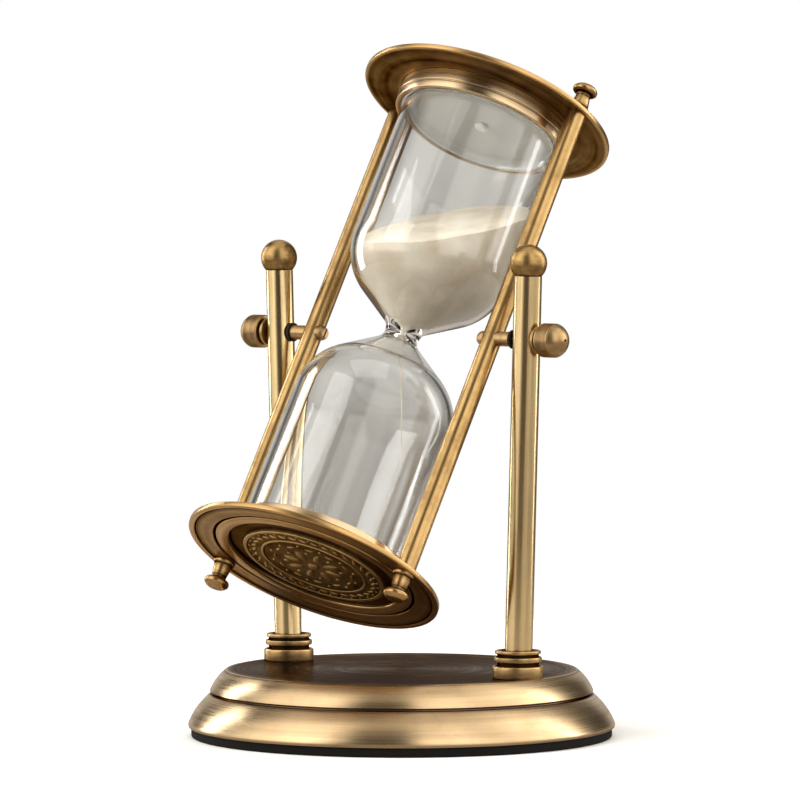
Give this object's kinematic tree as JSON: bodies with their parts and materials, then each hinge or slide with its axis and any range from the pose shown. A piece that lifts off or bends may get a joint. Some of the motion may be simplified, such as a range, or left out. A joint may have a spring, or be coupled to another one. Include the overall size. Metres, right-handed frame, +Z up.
{
  "type": "revolving desk hourglass",
  "caption": "Sand glass held between brass discs and rods, turning end over end on pivots between the posts of a round weighted base.",
  "frame": {"origin": "on the table, at the centre of the round base", "axes": "+Z up; +X along the pivot axis, from the left post to the right post; the upper end of the frame leans towards +Y"},
  "size_m": [0.14, 0.1614, 0.2268],
  "materials": {
    "brushed_brass": "brushed satin, lightly antiqued",
    "polished_brass": "drawn and satin polished",
    "rod_brass": "drawn, mottled patina",
    "antique_brass": "antiqued, dark in the recesses",
    "dark_brass": "cast, dark antiqued",
    "bronze": "brown satin bronze",
    "cast_iron": "rough cast",
    "steel_plate": "black enamel",
    "zinc_steel": "zinc plated",
    "pad": "soft foam sheet",
    "foam": "light grey closed-cell foam",
    "glass": "blown clear glass",
    "stopper": "silicone plug",
    "sand": "fine pale quartz sand",
    "fibre": "dark fibre"
  },
  "bodies": {
    "stand": {"base_shell": "brushed_brass", "base_weight": "cast_iron", "base_plate": "steel_plate", "base_pad": "pad", "base_screw": "zinc_steel", "foot_collar_left": "antique_brass", "foot_collar_right": "antique_brass", "post_left": "polished_brass", "post_right": "polished_brass", "post_bolt_left": "zinc_steel", "post_bolt_right": "zinc_steel", "post_washer_left": "zinc_steel", "post_washer_right": "zinc_steel", "ball_finial_left": "antique_brass", "ball_finial_right": "antique_brass", "pivot_bush_left": "bronze", "pivot_bush_right": "bronze"},
    "glass_frame": {"upper_disc": "antique_brass", "upper_medallion": "dark_brass", "upper_glass_ring": "brushed_brass", "upper_glass_cushion": "foam", "lower_disc": "antique_brass", "lower_medallion": "dark_brass", "lower_glass_ring": "brushed_brass", "lower_glass_cushion": "foam", "rod_left": "rod_brass", "rod_right": "rod_brass", "upper_rod_nut_left": "antique_brass", "upper_rod_nut_right": "antique_brass", "lower_rod_nut_left": "antique_brass", "lower_rod_nut_right": "antique_brass", "glass_bulb": "glass", "filler_stopper": "stopper", "sand_charge": "sand", "pivot_screw_left": "bronze", "pivot_screw_right": "bronze", "pivot_sleeve_left": "bronze", "pivot_sleeve_right": "bronze", "friction_washer_left": "fibre", "friction_washer_right": "fibre", "knob_washer_left": "bronze", "knob_washer_right": "bronze"},
    "left_knob": {"knob_left": "bronze"},
    "right_knob": {"knob_right": "bronze"}
  },
  "joints": [
    {"name": "frame_tilt", "type": "hinge", "parent": "stand", "child": "glass_frame", "pos_m": [0, 0, 0.1312], "axis": [1, 0, 0], "continuous": true},
    {"name": "left_knob_turn", "type": "hinge", "parent": "glass_frame", "child": "left_knob", "pos_m": [-0.0626, 0, 0.1312], "axis": [-1, 0, 0], "range_deg": [0, 180]},
    {"name": "right_knob_turn", "type": "hinge", "parent": "glass_frame", "child": "right_knob", "pos_m": [0.0626, 0, 0.1312], "axis": [1, 0, 0], "range_deg": [0, 180]}
  ]
}
